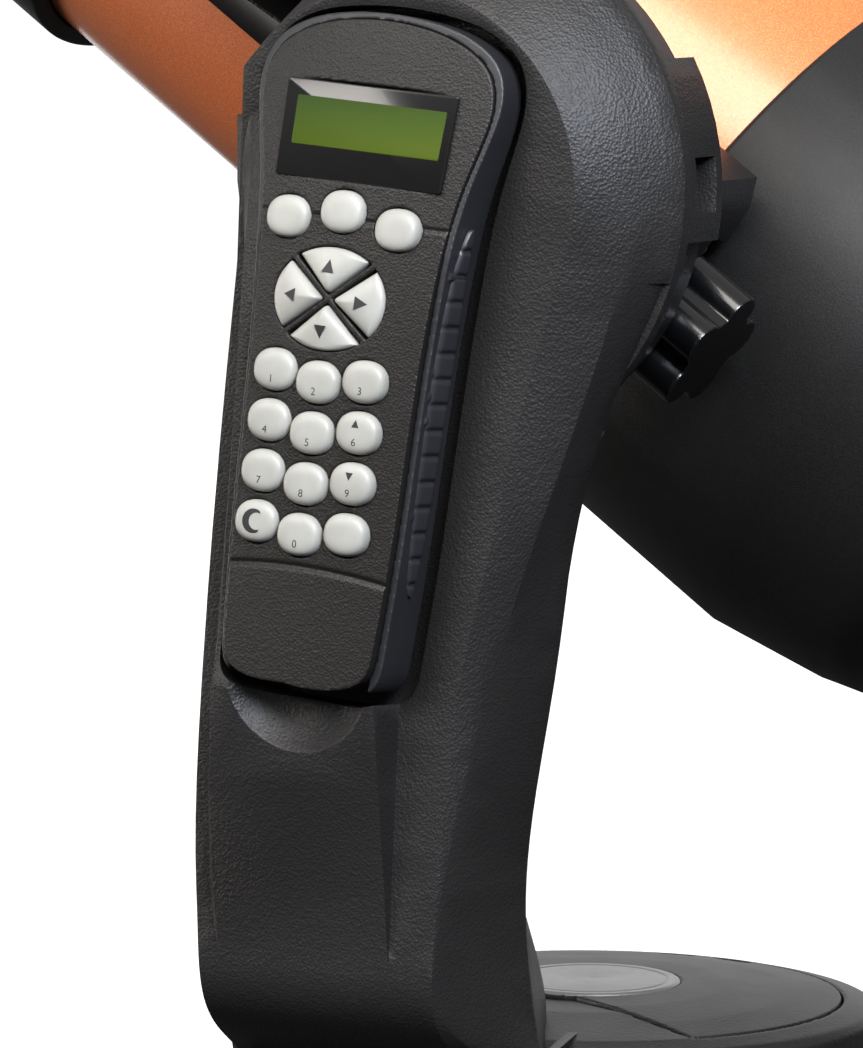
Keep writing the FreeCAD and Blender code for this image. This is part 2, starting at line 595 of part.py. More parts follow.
def make_screw(x, angle, radius):
    """Countersunk cross-head screw standing 0.4 mm proud of a cell, along a radius."""
    profile = [(0, 0.4), (3.0, 0.4), (3.6, 0.05), (3.6, 0.02), (0, 0.02)]
    head = polygon([V(r, 0, z) for r, z in profile]).revolve(V(0, 0, 0), Z, 360)
    for turn in (0, 90):
        slot = box(-1.7, 1.7, -0.35, 0.35, 0.1, 1)
        slot.rotate(V(0, 0, 0), Z, turn + 45)
        head = head.cut(slot)
    head.translate(V(x, 0, radius))
    head.rotate(V(0, 0, 0), X, -math.degrees(angle))
    head.translate(V(0, TUBE_Y, 0))
    return head


def make_focuser():
    baffle = lathe_tube([(-30, 17), (-30, 18.5), (132, 18.5), (132, 29), (139.7, 29), (139.7, 24), (170, 24),
                         (170, 17)])
    add("baffle_tube", tilt(baffle))
    mirror = lathe_tube([(95, 18.5 + RUN), (95, 24), (93.5, 24), (92, 50), (89.5, 76), (106, 76),
                         (106, 26), (118, 24), (121.8, 24), (121.8, 18.5 + RUN)])
    lug = box(118.8, 121.8, 0, 56, -7, 7).common(rod_x(50 + 7, 100, 140, 0.0))
    lug = lug.cut(rod_x(22, 100, 140, 0.0)).cut(rod_x(3 + RUN, 100, 140, 50.0))
    lug.rotate(V(0, 0, 0), X, math.degrees(math.atan2(FOCUS_AT[1], FOCUS_AT[0] - TUBE_Y)))
    lug.translate(V(0, TUBE_Y, 0))
    add("primary_mirror", tilt(fuse([mirror, lug])))
    knob = lathe_focus([(112.6, 0), (112.6, 3), (133, 3), (133, 4), (153, 4), (153, 9), (155, 13.5),
                        (176, 12.5), (178, 10), (178, 0)])
    for i in range(16):
        a = math.radians(22.5 * i)
        y, z = FOCUS_AT[0] + 14.2 * math.cos(a), FOCUS_AT[1] + 14.2 * math.sin(a)
        knob = knob.cut(rod_x(1.4, 158, 180, y, z))
    add("focus_knob", tilt(knob))


def lathe_focus(profile):
    return polygon([V(x, FOCUS_AT[0], FOCUS_AT[1] + r) for x, r in profile]).revolve(V(0, *FOCUS_AT), X, 360)


def make_visual_back():
    back = lathe_tube([(157.4, 24.2), (157.4, 30), (163, 30), (165, 26), (176, 26), (178, 24),
                       (178, EYE_R + RUN), (171, EYE_R + RUN), (170.4, 24.2)])
    for angle in (40, -80):
        screw = fuse([rod(2, V(172.4, 0, 19), V(172.4, 0, 29)), rod(4.2, V(172.4, 0, 27), V(172.4, 0, 35))])
        screw.rotate(V(0, 0, 0), X, angle)
        screw.translate(V(0, TUBE_Y, 0))
        back = fuse([back, screw])
    add("visual_back", tilt(back))


def make_diagonal():
    nose = pipe(EYE_R, 13.5, V(171.4, TUBE_Y, 0), V(180.5, TUBE_Y, 0))
    x0, x1, half = 179.0, 215.0, 18.0
    body = polygon([V(x0, TUBE_Y - half, -half), V(x0 + 6, TUBE_Y - half, -half), V(x1, TUBE_Y - half, 12),
                    V(x1, TUBE_Y - half, half), V(x0, TUBE_Y - half, half)]).extrude(V(0, 2 * half, 0))
    body = body.cut(rod_x(13.5, x0 - 5, EYEPIECE_X)).cut(rod(13.5, eyepiece_at(0), eyepiece_at(30)))
    holder = pipe(18, EYE_R + RUN, eyepiece_at(17.5), eyepiece_at(48))
    collar = pipe(20, EYE_R + RUN, eyepiece_at(38), eyepiece_at(48))
    stem = V(EYEPIECE_X, TUBE_Y, 43)
    screw = fuse([rod(1.8, stem + V(0, 16.5, 0), stem + V(0, 27, 0)),
                  rod(4, stem + V(0, 22, 0), stem + V(0, 29, 0))])
    add("star_diagonal", tilt(fuse([nose, body, holder, collar, screw])))
    barrel = [(0, 24), (14, 24), (EYE_R, 25), (EYE_R, 48.4), (19, 48.4), (20, 50), (20, 62), (18.5, 66),
              (18.5, 74), (20.5, 76), (20.5, 84), (17, 88), (12, 88), (10, 83), (0, 81)]
    eyepiece = polygon([V(EYEPIECE_X + r, TUBE_Y, z) for r, z in barrel])
    add("eyepiece", tilt(eyepiece.revolve(eyepiece_at(0), Z, 360)))


def eyepiece_at(z):
    return V(EYEPIECE_X, TUBE_Y, z)


def make_finder():
    base = box(62, 92, TUBE_Y + 18, TUBE_Y + 38, 89, 102).cut(rod_x(CELL_R + 0.02, 0, 140))
    stalk = box(66, 88, TUBE_Y + 23, TUBE_Y + 33, 96, 110)
    body = box(40, 112, TUBE_Y + 20, TUBE_Y + 36, 108, 124)
    window = pipe(15, 13, V(36, TUBE_Y + 28, 128), V(46, TUBE_Y + 28, 128))
    dial = rod(6, V(98, TUBE_Y + 35, 116), V(98, TUBE_Y + 40, 116))
    lens = rod(13.2, V(40, TUBE_Y + 28, 128), V(42, TUBE_Y + 28, 128))
    add("red_dot_finder", tilt(fuse([base, stalk, body, window, dial, lens])))


# ---------------------------------------------------------------- hand control

COLUMN = 13.5
COLUMN_SHIFT = -2.5  # the keypad sits left of the middle
ROWS = {"key_1": (-1, 82.6), "key_2": (0, 80.8), "key_3": (1, 82.6),
        "key_4": (-1, 69.0), "key_5": (0, 67.2), "key_6": (1, 69.0),
        "key_7": (-1, 55.4), "key_8": (0, 53.6), "key_9": (1, 55.4),
        "key_info": (-1, 41.8), "key_0": (0, 40.0), "key_speed": (1, 41.8)}
TOP_KEYS = {"key_align": (-18.6, 123.4), "key_enter": (-2.2, 126.4), "key_back": (14.2, 123.4)}
PAD_CENTRE, PAD_U, PAD_V = (-3.0, 103.0), 16.6, 13.8
KEY_U, KEY_V = 6.6, 5.8
WINDOW_V = 147.2     # middle of the display window


def oval(u, v, half_u, half_v, w0, w1):
    ellipse = Part.Ellipse(V(0, 0, 0), max(half_u, half_v), min(half_u, half_v))
    edge = ellipse.toShape()
    face = Part.Face(Part.Wire(edge))
    face.rotate(V(0, 0, 0), X, 90)
    face.translate(hc_point(u, v, w0))
    return face.extrude(V(0, w0 - w1, 0))


def crown_at(u):
    return math.sqrt(CROWN_R ** 2 - u ** 2) - CROWN_R + CROWN


def bend_at(v):
    return BEND * max(0.0, v - BEND_V) ** 2


def bent(shape, v):
    """Moves something built on the straight face to where the bent face is at v."""
    pivot = hc_point(0, v, 0)
    shape.rotate(pivot, X, -math.degrees(2 * BEND * max(0.0, v - BEND_V)))
    shape.translate(V(0, bend_at(v), 0))
    return shape


def crown_block(drop=0.0):
    """Everything under the front shell's crowned, bent face."""
    reach, low = 60.0, -30.0
    edge = crown_at(reach)
    rows = []
    for v in (-20, 30, BEND_V, 100, 120, 140, 160, 180, 200):
        down = bend_at(v) + drop
        rows.append([(-reach, edge - down), (0, CROWN - down), (reach, edge - down), v])
    wires = []
    for left, top, right, v in rows:
        ends = [hc_point(left[0], v, left[1]), hc_point(right[0], v, right[1])]
        arc = Part.Arc(ends[0], hc_point(0, v, top[1]), ends[1]).toShape()
        sides = Part.makePolygon([ends[1], hc_point(reach, v, low), hc_point(-reach, v, low), ends[0]])
        wires.append(Part.Wire([arc] + sides.Edges))
    return Part.makeLoft(wires, True, False)


def round_key(u, v, half_u, half_v):
    top = crown_at(abs(u) + half_u) + 3.0
    cap = oval(u, v, half_u, half_v, -3.4, top)
    rim = [e for e in cap.Edges if abs(e.BoundBox.YMin + top) < 0.01 and abs(e.BoundBox.YMax + top) < 0.01]
    cap = cap.makeFillet(1.6, rim)
    reach = half_v + 0.8
    corners = [(-3.0, -reach), (3.0, -reach), (3.0, reach), (-3.0, reach)]
    flange = polygon([hc_point(u + du, v + dv, -3.4) for du, dv in corners]).extrude(V(0, -1.7, 0))
    return fuse([cap, flange, oval(u, v, 2.2, 2.0, -4.8, -3.3)])


def pad_wedge(side, grow, w0, w1):
    """One quarter of the arrow pad: an oval cut along both diagonals."""
    u, v = PAD_CENTRE
    gap = 1.3 - grow
    reach = 2 * PAD_U
    rise = reach * PAD_V / PAD_U
    corners = {"up": [(0, gap), (-reach, gap + rise), (reach, gap + rise)],
               "down": [(0, -gap), (-reach, -gap - rise), (reach, -gap - rise)],
               "left": [(-gap, 0), (-gap - reach, -rise), (-gap - reach, rise)],
               "right": [(gap, 0), (gap + reach, -rise), (gap + reach, rise)]}[side]
    wedge = polygon([hc_point(u + du, v + dv, w0) for du, dv in corners]).extrude(V(0, w0 - w1, 0))
    return oval(u, v, PAD_U + grow, PAD_V + grow, w0, w1).common(wedge)


def pad_key(side):
    cap = pad_wedge(side, 0.0, -3.4, 5.6)
    dome = Part.makeSphere(60.0, hc_point(PAD_CENTRE[0], PAD_CENTRE[1], 6.0 - 60.0))
    cap = cap.common(dome)
    flange = pad_wedge(side, 0.35, -3.4, -1.7)
    return fuse([cap, flange])


def make_keys():
    holes = []
    places = {name: (column * COLUMN + COLUMN_SHIFT, v) for name, (column, v) in ROWS.items()}
    places.update(TOP_KEYS)
    for name, (u, v) in places.items():
        add(name, hc_place(bent(round_key(u, v, KEY_U, KEY_V), v)))
        holes.append(bent(oval(u, v, KEY_U + FIT, KEY_V + FIT, -20, 20), v))
    for side in ("up", "down", "left", "right"):
        add("key_" + side, hc_place(bent(pad_key(side), PAD_CENTRE[1])))
        holes.append(bent(pad_wedge(side, FIT, -20, 20), PAD_CENTRE[1]))
    return holes


def make_hand_control():
    holes = make_keys()
    front = hc_slab(0, -10, CROWN + 0.5).common(crown_block())
    front = front.cut(hc_slab(-2.4, -10.1, -1.0).common(crown_block(2.4)))
    front = front.cut(bent(window_slab(0.0, 1.2, 10), WINDOW_V))
    front = front.cut(bent(window_slab(-3.2, -5, 10), WINDOW_V))
    for hole in holes:
        front = front.cut(hole)
    add("hc_front_shell", hc_place(front))
    back = hc_slab(-0.5, -HC_DEEP, -10.15).cut(hc_slab(-2.9, -HC_DEEP + 2.2, -10))
    add("hc_back_shell", hc_place(back))
    band = hc_slab(2.0, -18.5, -1.6).common(crown_block(0.9)).cut(hc_slab(0.12, -19, 0))
    band = band.cut(box(-21, 21, -30, 30, -20, 20))
    ribs = [side_rib(v, s) for s in (-1, 1) for v in [48 + 6.4 * i for i in range(13)]]
    grips = fuse([band] + ribs).cut(hc_slab(0.12, -19, 0))
    add("hc_grips", hc_place(grips))
    add("lcd_window", hc_place(bent(window_slab(-0.15, 1.25, 2.9), WINDOW_V)))
    board = hc_slab(-5.0, -9.6, -8.2)
    glass = bent(window_slab(-3.6, -9.0, -1.4), WINDOW_V).common(hc_slab(-5.0, -9.6, 0))
    add("hc_board", hc_place(fuse([board, glass])))


def side_rib(v, side):
    """One of the raised ribs on the rubber edge grips."""
    half = [u for u, height in HC_OUTLINE if height >= v][0]
    low = [u for u, height in HC_OUTLINE if height <= v][-1]
    u = min(half, low) + 1.2
    x0, x1 = sorted((side * u, side * (u + 1.5)))
    return Part.makeBox(x1 - x0, 9, 1.6, V(x0, 3.5, v))


def window_slab(grow, w0, w1):
    """The display window, a little wider at its top than at its bottom."""
    low, high = WINDOW_V - 13.2, WINDOW_V + 13.3
    points = [(-25.0 - grow, low - grow), (25.0 + grow, low - grow), (25.7 + grow, high + grow),
              (-25.7 - grow, high + grow)]
    return polygon([hc_point(u, v, w0) for u, v in points]).extrude(V(0, w0 - w1, 0))


def main():
    make_base()
    make_spindle()
    make_turntable()
    make_switch()
    make_cover()
    make_batteries()
    make_outer_shell()
    make_inner_shell()
    make_frame()
    make_drives()
    make_board()
    make_hub()
    make_clamp()
    make_tube()
    make_secondary()
    make_rear_cell()
    make_focuser()
    make_visual_back()
    make_diagonal()
    make_finder()
    make_hand_control()
    os.makedirs("parts", exist_ok=True)
    for name, shape in PARTS.items():
        shape.exportStep("parts/" + name + ".step")
        solids = len(shape.Solids)
        print(name, "solids", solids, "volume %.0f" % shape.Volume, "valid", shape.isValid())
    print(len(PARTS), "nodes")


main()
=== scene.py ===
"""The looks of a Schmidt-Cassegrain telescope on its single-arm mount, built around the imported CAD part.

Lengths are metres in the row frame, and millimetres inside a local frame.  The arm and most small parts
keep their CAD meshes with small rounded edges.  The mount's housings and the hand control's shells are
remeshed copies with softened edges, turned parts are lathed again with finer meshes, and the keys,
display and grip inserts of the hand control are modelled here.
"""
import math

import bmesh
import bpy
import numpy as np
from mathutils import Euler, Matrix, Vector


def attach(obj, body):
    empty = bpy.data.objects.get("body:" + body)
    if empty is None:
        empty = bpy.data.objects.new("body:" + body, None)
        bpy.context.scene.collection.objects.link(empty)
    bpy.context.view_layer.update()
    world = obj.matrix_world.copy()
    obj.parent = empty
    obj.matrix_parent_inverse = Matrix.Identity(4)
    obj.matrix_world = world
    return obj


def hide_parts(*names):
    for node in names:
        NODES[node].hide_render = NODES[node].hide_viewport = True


MM = 0.001
AXIS_Z = 0.299                       # altitude axis height
TILT = math.radians(36.6)            # tube elevation at rest
TUBE_Y = 0.067                       # optical axis
HC_FOOT = Vector((-0.0140, -0.159, 0.168))
HC_LEAN, HC_TURN = math.radians(-5.0), math.radians(5.2)
CROWN, CROWN_R = 3.0, 151.5          # crown of the hand control's face, mm
BEND_V, BEND = 80.0, 0.00075         # its face curves back above this height, mm
LCD_LOW, LCD_HIGH = 0.3105, 0.3265   # heights between which the display's colour changes
IOR = 1.5
WELD = 1e-5                          # merge distance of a CAD mesh's vertices
SHARP = math.radians(30.0)           # edges sharper than this are rounded on a dressed node

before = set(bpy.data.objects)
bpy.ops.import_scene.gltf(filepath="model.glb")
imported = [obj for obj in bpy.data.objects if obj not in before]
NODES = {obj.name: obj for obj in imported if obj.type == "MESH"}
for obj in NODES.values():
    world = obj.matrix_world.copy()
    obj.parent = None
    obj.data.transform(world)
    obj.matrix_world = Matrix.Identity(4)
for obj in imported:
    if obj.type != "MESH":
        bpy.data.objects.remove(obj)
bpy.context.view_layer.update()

TUBE = Matrix.Translation((0, 0, AXIS_Z)) @ Matrix.Rotation(TILT, 4, "Y")
HC = (Matrix.Translation(HC_FOOT) @ Euler((HC_LEAN, 0, 0)).to_matrix().to_4x4()
      @ Euler((0, HC_TURN, 0)).to_matrix().to_4x4())


# ---------------------------------------------------------------- materials

class Look:
    """A principled material with object-space texture nodes."""

    def __init__(self, name, color, rough, metallic=0.0, coat=0.0, coat_rough=0.03, spec=0.5):
        self.material = bpy.data.materials.new(name)
        self.material.use_nodes = True
        self.tree = self.material.node_tree
        self.shader = self.tree.nodes["Principled BSDF"]
        self.material.diffuse_color = (*color, 1)
        values = {"Base Color": (*color, 1), "Roughness": rough, "Metallic": metallic, "IOR": IOR,
                  "Coat Weight": coat, "Coat Roughness": coat_rough, "Specular IOR Level": spec}
        for socket, value in values.items():
            self.shader.inputs[socket].default_value = value
        self.coords = self.node("ShaderNodeTexCoord")
        self.normal = None

    def node(self, kind, **settings):
        made = self.tree.nodes.new(kind)
        for key, value in settings.items():
            setattr(made, key, value)
        return made

    def link(self, a, b):
        self.tree.links.new(a, b)

    def scaled(self, stretch):
        mapping = self.node("ShaderNodeMapping")
        mapping.inputs["Scale"].default_value = stretch
        self.link(self.coords.outputs["Object"], mapping.inputs["Vector"])
        return mapping.outputs["Vector"]

    def noise(self, scale, detail=3.0, roughness=0.5):
        made = self.node("ShaderNodeTexNoise")
        made.inputs["Scale"].default_value = scale
        made.inputs["Detail"].default_value = detail
        made.inputs["Roughness"].default_value = roughness
        self.link(self.scaled((1, 1, 1)), made.inputs["Vector"])
        return made.outputs["Fac"]

    def cells(self, scale):
        made = self.node("ShaderNodeTexVoronoi", feature="F1")
        made.inputs["Scale"].default_value = scale
        self.link(self.scaled((1, 1, 1)), made.inputs["Vector"])
        return made

    def ramp(self, source, stops):
        made = self.node("ShaderNodeValToRGB")
        points = made.color_ramp.elements
        while len(points) < len(stops):
            points.new(0.5)
        for point, (place, color) in zip(points, stops):
            point.position = place
            point.color = (*color, 1) if len(color) == 3 else color
        self.link(source, made.inputs["Fac"])
        return made.outputs["Color"]

    def values(self, source, low, high):
        made = self.node("ShaderNodeMapRange")
        made.inputs["To Min"].default_value = low
        made.inputs["To Max"].default_value = high
        self.link(source, made.inputs["Value"])
        return made.outputs["Result"]

    def bump(self, source, strength, distance):
        made = self.node("ShaderNodeBump")
        made.inputs["Strength"].default_value = strength
        made.inputs["Distance"].default_value = distance
        self.link(source, made.inputs["Height"])
        if self.normal is not None:
            self.link(self.normal, made.inputs["Normal"])
        self.normal = made.outputs["Normal"]
        self.link(self.normal, self.shader.inputs["Normal"])
        return self

    def color(self, source):
        self.link(source, self.shader.inputs["Base Color"])
        return self

    def rough(self, source, low, high):
        self.link(self.values(source, low, high), self.shader.inputs["Roughness"])
        return self

    def vary(self, color, scale=30.0, spread=0.12):
        """Slow variation of the base colour."""
        dark = tuple(c * (1 - spread) for c in color)
        light = tuple(min(1, c * (1 + spread)) for c in color)
        return self.color(self.ramp(self.noise(scale), [(0.3, dark), (0.7, light)]))


def grained_plastic(name, color, rough, grain=1500.0, depth=0.35):
    """Moulded plastic with a fine leather-like grain."""
    look = Look(name, color, rough, spec=0.34)
    look.vary(color, 22.0, 0.10)
    look.rough(look.noise(60.0), rough - 0.04, rough + 0.05)
    look.bump(look.cells(grain).outputs["Distance"], depth, 0.00022)
    look.bump(look.noise(grain * 0.45, 2.0), depth * 0.8, 0.00026)
    return look.material


def smooth_rubber(name, color, rough):
    look = Look(name, color, rough, spec=0.45)
    look.vary(color, 40.0, 0.12)
    look.rough(look.noise(90.0), rough - 0.05, rough + 0.06)
    look.bump(look.noise(2600.0, 2.0), 0.12, 0.0001)
    return look.material


def flake_paint():
    """Metallic orange paint under clear lacquer."""
    base = (0.70, 0.135, 0.047)
    look = Look("orange_flake", base, 0.46, metallic=0.14, coat=1.0, coat_rough=0.20)
    flakes = look.cells(5200.0)
    look.color(look.ramp(flakes.outputs["Color"], [(0.15, (0.58, 0.145, 0.024)), (0.5, base),
                                                   (0.9, (0.92, 0.33, 0.08))]))
    look.rough(look.noise(900.0, 1.0), 0.40, 0.52)
    look.bump(look.noise(55.0, 2.0), 0.02, 0.0006)
    return look.material


def speckled_paint(name, color, rough):
    look = Look(name, color, rough, spec=0.28, coat=0.04, coat_rough=0.35)
    light = tuple(c * 1.9 for c in color)
    look.color(look.ramp(look.noise(2400.0, 2.0), [(0.42, color), (0.72, light)]))
    look.rough(look.noise(120.0), rough - 0.05, rough + 0.06)
    look.bump(look.noise(1900.0, 3.0, 0.6), 0.45, 0.00016)
    return look.material


def gloss(name, color, rough=0.12, coat=0.6):
    look = Look(name, color, rough, coat=coat, coat_rough=0.04)
    look.vary(color, 50.0, 0.08)
    look.rough(look.noise(70.0), rough * 0.8, rough * 1.3)
    look.bump(look.noise(120.0, 2.0), 0.02, 0.0003)
    return look.material


def metal(name, color, rough, scale, strength):
    look = Look(name, color, rough, metallic=1.0)
    look.vary(color, 60.0, 0.05)
    fine = look.noise(scale, 3.0, 0.6)
    look.rough(fine, rough * 0.8, rough * 1.25)
    look.bump(fine, strength, 0.0001)
    return look.material


def spun_metal():
    """Turned aluminium: rings round the azimuth axis."""
    look = Look("spun_disc", (0.32, 0.32, 0.31), 0.42, metallic=0.75)
    rings = look.node("ShaderNodeTexWave", wave_type="RINGS", rings_direction="Z")
    rings.inputs["Scale"].default_value = 2100.0
    rings.inputs["Distortion"].default_value = 0.6
    look.link(look.scaled((1, 1, 0)), rings.inputs["Vector"])
    look.color(look.ramp(rings.outputs["Fac"], [(0.2, (0.23, 0.23, 0.22)), (0.8, (0.35, 0.35, 0.34))]))
    look.bump(rings.outputs["Fac"], 0.25, 0.00006)
    look.rough(look.noise(300.0), 0.36, 0.50)
    return look.material


def cast_metal():
    gray = (0.36, 0.36, 0.37)
    look = Look("cast_alloy", gray, 0.5, metallic=0.9)
    look.vary(gray, 80.0, 0.12)
    look.bump(look.noise(900.0, 3.0), 0.3, 0.0002)
    return look.material


def coated_glass():
    look = Look("coated_glass", (0.93, 0.97, 0.95), 0.02)
    look.shader.inputs["Transmission Weight"].default_value = 1.0
    look.rough(look.noise(40.0), 0.01, 0.035)
    return look.material


def mirror():
    look = Look("mirror_coating", (0.92, 0.93, 0.94), 0.03, metallic=1.0)
    look.rough(look.noise(30.0), 0.02, 0.045)
    return look.material


def key_rubber():
    """Milky key caps whose tone varies a little at random."""
    look = Look("key_cap", (0.38, 0.385, 0.355), 0.42, spec=0.5, coat=0.08, coat_rough=0.3)
    look.shader.inputs["Subsurface Weight"].default_value = 0.12
    look.shader.inputs["Subsurface Radius"].default_value = (0.002, 0.002, 0.0016)
    look.color(look.ramp(look.noise(110.0), [(0.3, (0.320, 0.318, 0.286)), (0.7, (0.370, 0.368, 0.338))]))
    look.rough(look.noise(160.0), 0.36, 0.5)
    look.bump(look.noise(1800.0, 2.0), 0.05, 0.0001)
    return look.material


def lcd_painted_glow():
    """The display's field with a painted glow: its own colour, darker and greener at the top and yellower at
    the bottom, is also given as emission.
    """
    look = Look("lcd_field_painted_glow", (0.05, 0.09, 0.015), 0.6, spec=0.15)
    split = look.node("ShaderNodeSeparateXYZ")
    look.link(look.coords.outputs["Object"], split.inputs["Vector"])
    height = look.node("ShaderNodeMapRange")
    height.inputs["From Min"].default_value = LCD_LOW
    height.inputs["From Max"].default_value = LCD_HIGH
    look.link(split.outputs["Z"], height.inputs["Value"])
    tone = look.ramp(height.outputs["Result"], [(0.0, (0.046, 0.070, 0.004)), (0.45, (0.030, 0.054, 0.004)),
                                               (1.0, (0.014, 0.030, 0.004))])
    look.color(tone)
    # Painted glow: the field's own colour is also given as emission, so the display shines by itself.
    look.link(tone, look.shader.inputs["Emission Color"])
    look.shader.inputs["Emission Strength"].default_value = 0.30
    look.bump(look.noise(2500.0, 1.0), 0.04, 0.00005)
    return look.material


MATERIALS = {
    "arm": grained_plastic("arm_plastic", (0.0135, 0.0127, 0.0125), 0.46, 1250.0, 0.60),
    "case": grained_plastic("control_plastic", (0.0122, 0.0110, 0.0102), 0.43, 1500.0, 0.50),
    "mount": grained_plastic("mount_plastic", (0.0105, 0.0102, 0.0100), 0.46, 1300.0, 0.35),
    "rubber": smooth_rubber("band_rubber", (0.0185, 0.0190, 0.0215), 0.42),
    "insert": smooth_rubber("insert_rubber", (0.0260, 0.0265, 0.0300), 0.34),
    "foot": smooth_rubber("foot_rubber", (0.015, 0.015, 0.015), 0.7),
    "paint": flake_paint(),
    "cell": speckled_paint("cell_paint", (0.0080, 0.0077, 0.0074), 0.48),
    "bar": metal("anodised_bar", (0.030, 0.029, 0.029), 0.38, 1400.0, 0.05),
    "anodised": metal("black_anodised", (0.022, 0.022, 0.023), 0.34, 1200.0, 0.05),
    "gloss": gloss("gloss_black", (0.0030, 0.0030, 0.0034), 0.22, 0.25),
    "steel": metal("zinc_steel", (0.50, 0.51, 0.51), 0.26, 900.0, 0.08),
    "brass": metal("brass", (0.62, 0.42, 0.16), 0.28, 900.0, 0.08),
    "nylon": smooth_rubber("nylon", (0.62, 0.61, 0.56), 0.45),
    "spun": spun_metal(),
    "cast": cast_metal(),
    "glass": coated_glass(),
    "mirror": mirror(),
    "battery": gloss("battery_sleeve", (0.045, 0.050, 0.060), 0.25, 0.3),
    "board": gloss("solder_mask", (0.010, 0.060, 0.025), 0.30, 0.3),
    "key": key_rubber(),
    "ink": smooth_rubber("key_ink", (0.018, 0.018, 0.020), 0.6),
    # the display field's material: its own green colour plus a painted glow
    "lcd": lcd_painted_glow(),
    "bezel": gloss("display_bezel", (0.0060, 0.0058, 0.0060), 0.16, 0.2),
}


# ---------------------------------------------------------------- mesh helpers

def link(name, mesh, look, body, node=None, smooth=40.0):
    piece = bpy.data.objects.new(name, mesh)
    bpy.context.scene.collection.objects.link(piece)
    mesh.materials.clear()
    mesh.materials.append(MATERIALS[look])
    mesh.shade_smooth()
    if smooth:
        mesh.set_sharp_from_angle(angle=math.radians(smooth))
    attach(piece, body)
    if node:
        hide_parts(node)
    return piece


def evaluated_mesh(source):
    graph = bpy.context.evaluated_depsgraph_get()
    return bpy.data.meshes.new_from_object(source.evaluated_get(graph), depsgraph=graph)


def soft_copy(node, voxel, passes, look, body, keep, shape=None):
    """A remeshed copy of a CAD node whose edges are rounded by smoothing, thinned to a share of its faces."""
    source = bpy.data.objects.new(node + "_soft", NODES[node].data.copy())
    bpy.context.scene.collection.objects.link(source)
    weld = source.modifiers.new("weld", "WELD")
    weld.merge_threshold = WELD
    remesh = source.modifiers.new("remesh", "REMESH")
    remesh.mode = "VOXEL"
    remesh.voxel_size = voxel * 1.0
    mesh = evaluated_mesh(source)
    bpy.data.objects.remove(source)
    relax(mesh, passes)
    if shape:
        points = read_points(mesh)
        shape(points)
        write_points(mesh, points)
    piece = link(node + "_body", mesh, look, body, node, smooth=0)
    thin = piece.modifiers.new("thin", "DECIMATE")
    thin.ratio = keep


def read_points(mesh):
    points = np.empty(len(mesh.vertices) * 3, np.float64)
    mesh.vertices.foreach_get("co", points)
    return points.reshape(-1, 3)


def write_points(mesh, points):
    mesh.vertices.foreach_set("co", points.astype(np.float32).ravel())
    mesh.update()


def relax(mesh, passes):
    """Laplacian smoothing with a push back, so thin walls keep their thickness."""
    edges = np.empty(len(mesh.edges) * 2, np.int64)
    mesh.edges.foreach_get("vertices", edges)
    a, b = edges.reshape(-1, 2).T
    points = read_points(mesh)
    count = np.bincount(a, minlength=len(points)) + np.bincount(b, minlength=len(points))
    for step in range(passes * 2):
        total = np.zeros_like(points)
        for axis in range(3):
            total[:, axis] = (np.bincount(a, points[b, axis], len(points))
                              + np.bincount(b, points[a, axis], len(points)))
        push = 0.55 if step % 2 == 0 else -0.50
        points += push * (total / count[:, None] - points)
    write_points(mesh, points)


def in_frame(matrix, points):
    """Row-frame points in millimetres of a local frame."""
    inverse = np.array(matrix.inverted())
    return (points @ inverse[:3, :3].T + inverse[:3, 3]) / MM


def from_frame(matrix, points):
    forward = np.array(matrix)
    return (points * MM) @ forward[:3, :3].T + forward[:3, 3]


def grid_mesh(name, points, closed_u=False, closed_v=False, cap=False):
    """A mesh over a rows-by-columns array of points; cap closes the first and last row."""
    rows, columns, _ = points.shape
    faces = []
    for i in range(rows if closed_u else rows - 1):
        for j in range(columns if closed_v else columns - 1):
            i2, j2 = (i + 1) % rows, (j + 1) % columns
            faces.append((i * columns + j, i * columns + j2, i2 * columns + j2, i2 * columns + j))
    if cap:
        faces.append(tuple(range(columns))[::-1])
        faces.append(tuple((rows - 1) * columns + j for j in range(columns)))
    mesh = bpy.data.meshes.new(name)
    mesh.from_pydata(points.reshape(-1, 3).tolist(), [], faces)
    tidy = bmesh.new()
    tidy.from_mesh(mesh)
    bmesh.ops.remove_doubles(tidy, verts=tidy.verts, dist=1e-7)
    bmesh.ops.recalc_face_normals(tidy, faces=tidy.faces)
    tidy.to_mesh(mesh)
    tidy.free()
    return mesh


def rounded(profile, radius, steps=4):
    """A closed profile with every corner turned into a small arc."""
    points = [Vector(p) for p in profile]
    ring = []
    for i, corner in enumerate(points):
        back, ahead = points[i - 1] - corner, points[(i + 1) % len(points)] - corner
        reach = min(radius, back.length * 0.45, ahead.length * 0.45)
        a, b = corner + back.normalized() * reach, corner + ahead.normalized() * reach
        for k in range(steps + 1):
            t = k / steps
            ring.append(a * (1 - t) ** 2 + corner * 2 * t * (1 - t) + b * t ** 2)
    return ring


def lathe(name, profile, place, radius, segments, steps=4):
    """Turns a closed (along, out) profile in mm about the local x axis of place."""
    ring = rounded(profile, radius, steps)
    angles = np.linspace(0, 2 * math.pi, segments, endpoint=False)
    points = np.array([[(p.x, p.y * math.cos(a), p.y * math.sin(a)) for p in ring] for a in angles])
    flat = from_frame(place, points.reshape(-1, 3)).reshape(points.shape)
    return grid_mesh(name, flat, closed_u=True, closed_v=True)


OPTICS = TUBE @ Matrix.Translation((0, TUBE_Y, 0))
UPRIGHT = Matrix.Rotation(math.radians(-90), 4, "Y")


def dress(node, look, bevel):
    """Gives a CAD node its material, joined normals and small rounded edges."""
    piece = NODES[node]
    piece.data.materials.clear()
    piece.data.materials.append(MATERIALS[look])
    piece.data.shade_smooth()
    weld = piece.modifiers.new("weld", "WELD")
    weld.merge_threshold = WELD
    if bevel:
        edge = piece.modifiers.new("edges", "BEVEL")
        edge.width = bevel * MM
        edge.segments = 2
        edge.limit_method = "ANGLE"
        edge.angle_limit = SHARP
        edge.use_clamp_overlap = True
        edge.harden_normals = True


